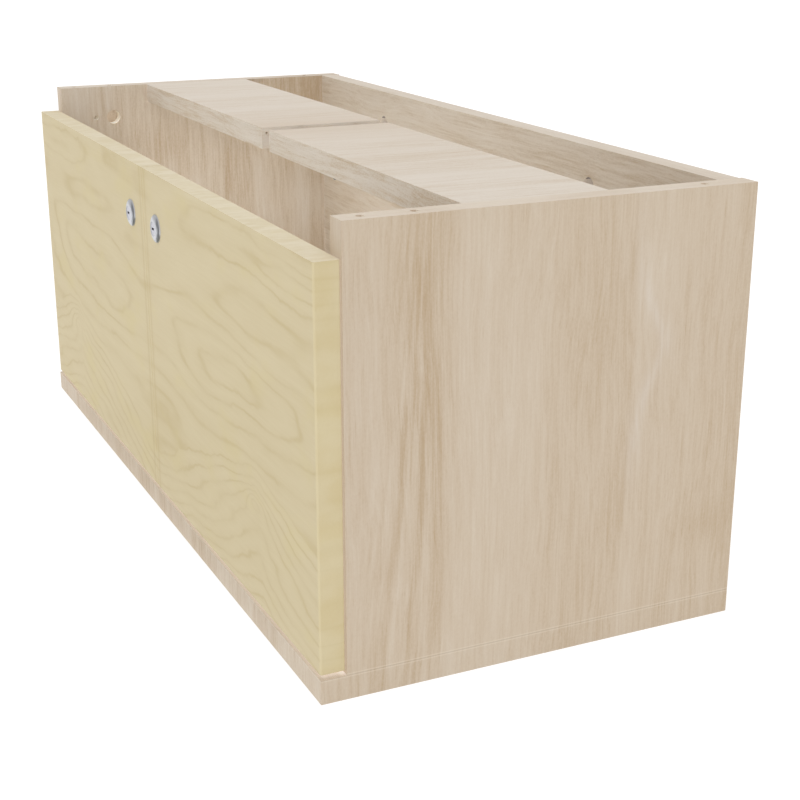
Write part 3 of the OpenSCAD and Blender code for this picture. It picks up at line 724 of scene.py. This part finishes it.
# Each card: corners, colour, whether it stands upright
CARDS = {
    "card_front": ((-1.6, CARD_FAR, 0.0), (1.6, CARD_FAR, 3.0), (134, 136, 138), True),
    "card_floor": ((-0.3, CARD_FAR, CARD_LIFT), (1.2, CARD_MIDDLE, CARD_LIFT), (132, 134, 136), False),
    "card_near": ((-0.3, CARD_MIDDLE, CARD_LIFT), (0.3, CARD_NEAR, CARD_LIFT), (114, 118, 110), False)}
CAMERA_PLACE = (1.2592, -0.3418 + FRONT, 0.5365)
CAMERA_AIM = (-0.8584, 0.4027, -0.3179)
LENS_MM = 66.756
SENSOR_MM = 36.0
NEAR_LIMIT = 0.01


def link(o):
    bpy.context.scene.collection.objects.link(o)


def turn_to(aim):
    """Rotation that points a light or the camera along the aim."""
    return Vector(aim).to_track_quat("-Z", "Y")


def floor():
    bpy.ops.mesh.primitive_plane_add(size=FLOOR_SIZE)
    o = bpy.context.object
    o.name = "floor"
    white = Shader("floor_white").finish(grey(FLOOR_GREY), FLOOR_ROUGH, Emission_Color=grey(1.0),
                                         Emission_Strength=FLOOR_GLOW)
    o.data.materials.append(white)


def card(name, corner_lo, corner_hi, colour, upright):
    """Grey card in front, seen by mirror-like metal only."""
    middle = [(a + b) / 2 for a, b in zip(corner_lo, corner_hi)]
    turn = math.pi / 2 if upright else 0.0
    bpy.ops.mesh.primitive_plane_add(size=1, location=middle, rotation=(turn, 0.0, 0.0))
    o = bpy.context.object
    o.name = name
    width, depth, height = [b - a for a, b in zip(corner_lo, corner_hi)]
    o.scale = (width, height if upright else depth, 1.0)
    o.data.materials.append(plain(name + "_grey", colour, CARD_ROUGH))
    for ray in ("camera", "diffuse", "transmission", "volume_scatter", "shadow"):
        setattr(o, "visible_" + ray, False)


def world():
    """Plain white where the world itself is seen, weaker as light on the object."""
    w = bpy.data.worlds.new("studio")
    bpy.context.scene.world = w
    w.use_nodes = True
    tree = w.node_tree
    background = tree.nodes["Background"]
    background.inputs[0].default_value = grey(1.0)
    strength = tree.nodes.new("ShaderNodeMath")
    strength.operation = "MULTIPLY_ADD"
    path = tree.nodes.new("ShaderNodeLightPath")
    tree.links.new(path.outputs["Is Camera Ray"], strength.inputs[0])
    strength.inputs[1].default_value = 1.0 - WORLD_LIGHT
    strength.inputs[2].default_value = WORLD_LIGHT
    tree.links.new(strength.outputs[0], background.inputs[1])


def lamp(name, kind, aim, **settings):
    d = bpy.data.lights.new(name, kind)
    for key, value in settings.items():
        setattr(d, key, value)
    o = bpy.data.objects.new(name, d)
    o.rotation_euler = turn_to(aim).to_euler()
    o.visible_glossy = False
    link(o)
    return o


def fill_light(name, kind, place, aim, **settings):
    """Soft fill light inside the open cupboard, not seen itself."""
    o = lamp(name, kind, aim, color=FILL_TINT, **settings)
    o.location = place
    o.visible_camera = False


def lights():
    lamp("over", "SUN", (-0.05, 0.1, -1.0), energy=1.10, angle=math.radians(50))
    lamp("head", "SUN", (-0.80, 0.50, -0.33), energy=0.26, angle=math.radians(25))
    # on the left wall, then twice on the back and the stretchers' fronts
    fill_light("fill_left", "SPOT", (-0.05, FRONT + 0.16, 0.24), (-1.0, 0.0, -0.1), energy=0.96,
               spot_size=math.radians(105), spot_blend=1.0, shadow_soft_size=0.05)
    fill_light("fill_back", "AREA", (-0.01, FRONT + 0.07, 0.21), (0.0, 1.0, 0.3), energy=0.42,
               shape="RECTANGLE", size=0.60, size_y=0.10)
    fill_light("fill_deep", "AREA", (-0.05, FRONT + 0.10, 0.12), (0.0, 1.0, 0.4), energy=0.34,
               shape="RECTANGLE", size=0.60, size_y=0.16)


def camera():
    d = bpy.data.cameras.new("camera")
    d.lens = LENS_MM
    d.sensor_width = SENSOR_MM
    d.clip_start = NEAR_LIMIT
    o = bpy.data.objects.new("camera", d)
    o.location = CAMERA_PLACE
    o.rotation_mode = "QUATERNION"
    o.rotation_quaternion = turn_to(CAMERA_AIM)
    link(o)
    bpy.context.scene.camera = o


floor()
for name, card_values in CARDS.items():
    card(name, *card_values)
world()
lights()
camera()
bpy.context.scene.view_settings.view_transform = "Standard"
